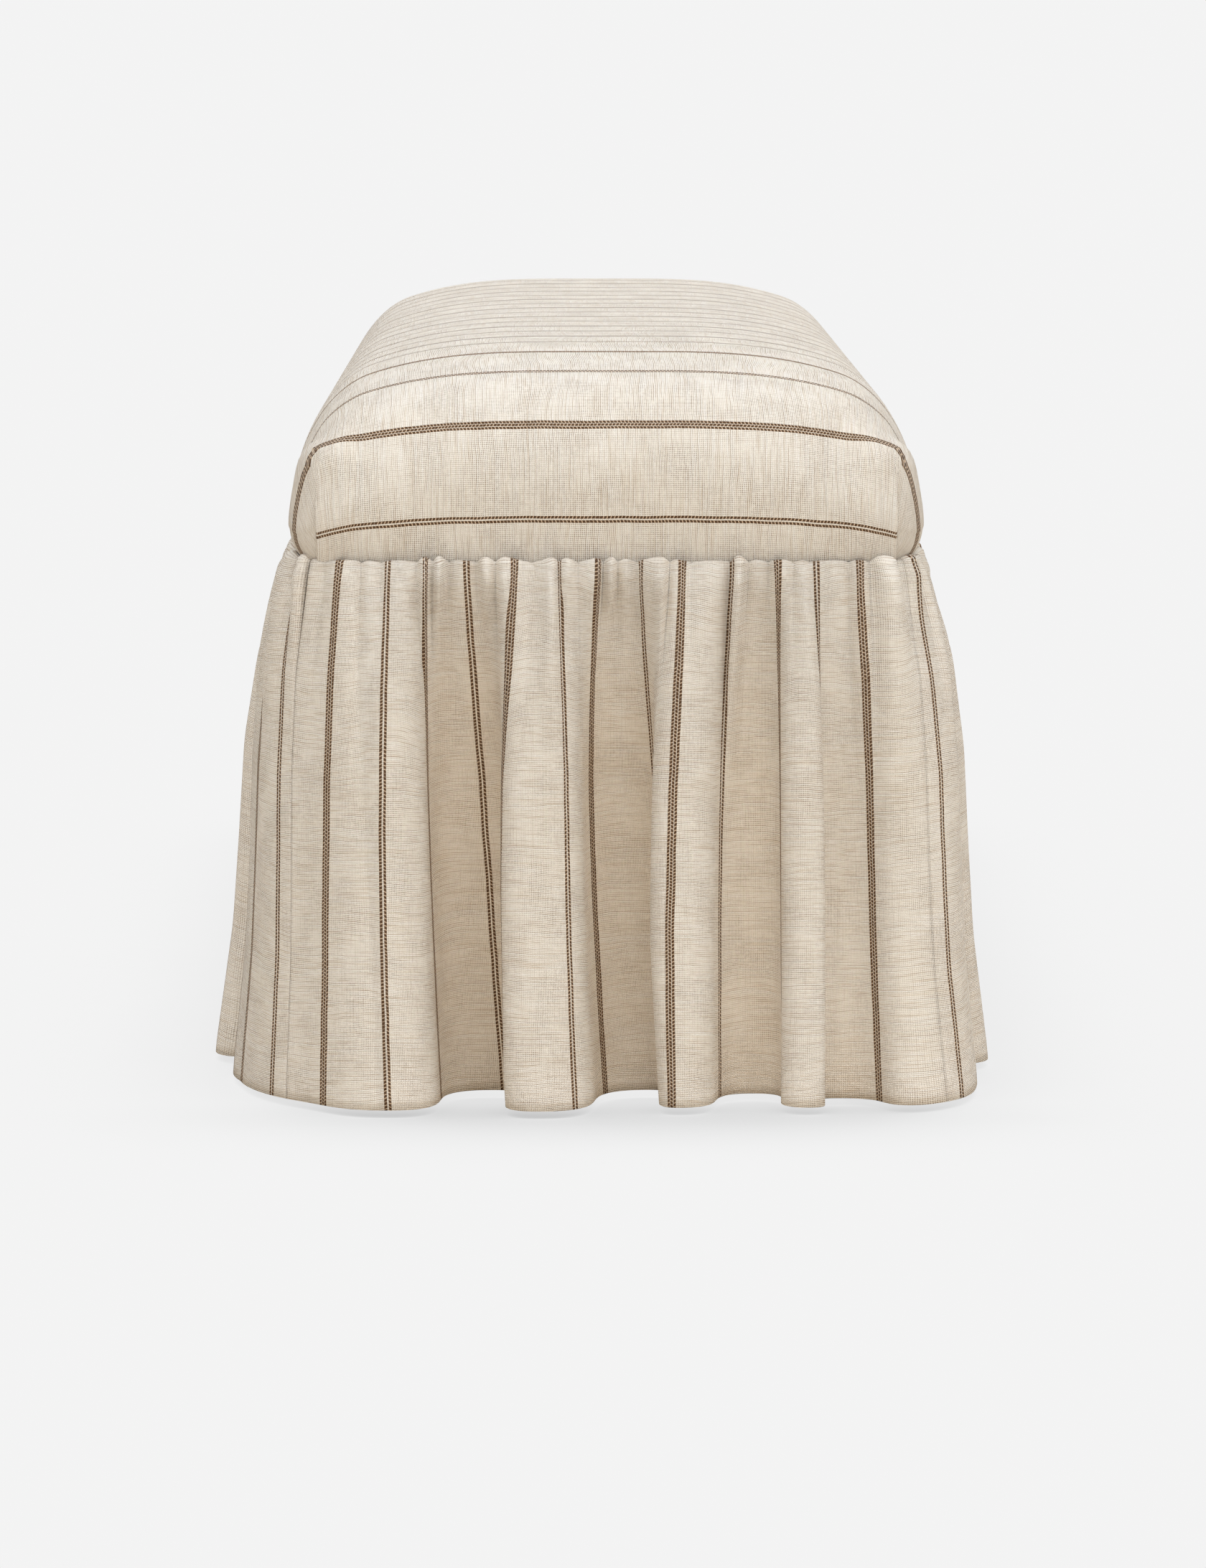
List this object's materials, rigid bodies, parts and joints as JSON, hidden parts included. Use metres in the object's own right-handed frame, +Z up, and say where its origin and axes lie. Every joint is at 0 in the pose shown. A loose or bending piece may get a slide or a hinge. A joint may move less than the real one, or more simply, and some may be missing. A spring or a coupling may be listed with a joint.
{
  "type": "dining bench",
  "caption": "Upholstered dining bench with a crowned seat in striped woven cloth and a gathered skirt down to the floor, over a hardwood frame.",
  "frame": {"origin": "on the floor, below the middle of the seat", "axes": "+Z up, +Y along the bench away from its front end, +X across it to the right"},
  "size_m": [0.5322, 1.3676, 0.4775],
  "materials": {
    "striped_cloth": "matte",
    "hardwood": "satin",
    "zinc_steel": "satin",
    "glide_nylon": "satin",
    "jute_web": "matte",
    "deck_hessian": "matte",
    "seat_foam": "matte",
    "white_batting": "matte",
    "tack_tape": "matte",
    "dust_cloth": "matte"
  },
  "bodies": {
    "root": {"bolt_nut_back_left": "zinc_steel", "bolt_nut_back_right": "zinc_steel", "bolt_nut_front_left": "zinc_steel", "bolt_nut_front_right": "zinc_steel", "bolt_washer_back_left": "zinc_steel", "bolt_washer_back_right": "zinc_steel", "bolt_washer_front_left": "zinc_steel", "bolt_washer_front_right": "zinc_steel", "corner_block_back_left": "hardwood", "corner_block_back_right": "hardwood", "corner_block_front_left": "hardwood", "corner_block_front_right": "hardwood", "corner_bolt_back_left": "zinc_steel", "corner_bolt_back_right": "zinc_steel", "corner_bolt_front_left": "zinc_steel", "corner_bolt_front_right": "zinc_steel", "cross_rail_back": "hardwood", "cross_rail_front": "hardwood", "cross_web_01": "jute_web", "cross_web_02": "jute_web", "cross_web_03": "jute_web", "cross_web_04": "jute_web", "cross_web_05": "jute_web", "cross_web_06": "jute_web", "cross_web_07": "jute_web", "cross_web_08": "jute_web", "cross_web_09": "jute_web", "deck_cloth": "deck_hessian", "dust_cover": "dust_cloth", "end_rail_back": "hardwood", "end_rail_front": "hardwood", "glide_back_left": "glide_nylon", "glide_back_right": "glide_nylon", "glide_front_left": "glide_nylon", "glide_front_right": "glide_nylon", "leg_back_left": "hardwood", "leg_back_right": "hardwood", "leg_front_left": "hardwood", "leg_front_right": "hardwood", "long_web_1": "jute_web", "long_web_2": "jute_web", "long_web_3": "jute_web", "seat_batting": "white_batting", "seat_cover": "striped_cloth", "seat_foam": "seat_foam", "side_rail_left": "hardwood", "side_rail_right": "hardwood", "skirt_back": "striped_cloth", "skirt_band_back": "tack_tape", "skirt_band_front": "tack_tape", "skirt_band_left": "tack_tape", "skirt_band_right": "tack_tape", "skirt_front": "striped_cloth", "skirt_left": "striped_cloth", "skirt_right": "striped_cloth"}
  },
  "joints": []
}
